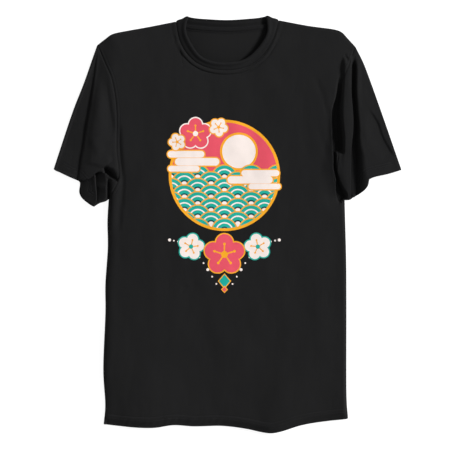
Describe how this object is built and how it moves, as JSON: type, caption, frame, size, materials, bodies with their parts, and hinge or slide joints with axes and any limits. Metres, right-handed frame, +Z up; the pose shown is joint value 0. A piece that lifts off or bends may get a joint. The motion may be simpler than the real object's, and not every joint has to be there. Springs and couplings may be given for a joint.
{
  "type": "crew-neck t-shirt",
  "caption": "Short-sleeved crew-neck T-shirt lying flat on its back, front side up: front and back panels, tubular sleeves, rib neck band and neck tape, open at neck, sleeves and hem",
  "frame": {"origin": "centre of the bounding box in plan, on the floor that the shirt lies on", "axes": "+Y from the hem towards the neck, +Z up out of the front of the shirt, +X towards the sleeve on the right as the front is looked at"},
  "size_m": [0.628, 0.7516, 0.0252],
  "materials": {
    "jersey": "matt single jersey knit",
    "rib": "matt one-by-one rib knit",
    "tape": "matt herringbone twill tape"
  },
  "bodies": {
    "root": {"front_panel": "jersey", "back_panel": "jersey", "sleeve_left": "jersey", "sleeve_right": "jersey", "neck_band": "rib", "neck_tape": "tape"}
  },
  "joints": []
}
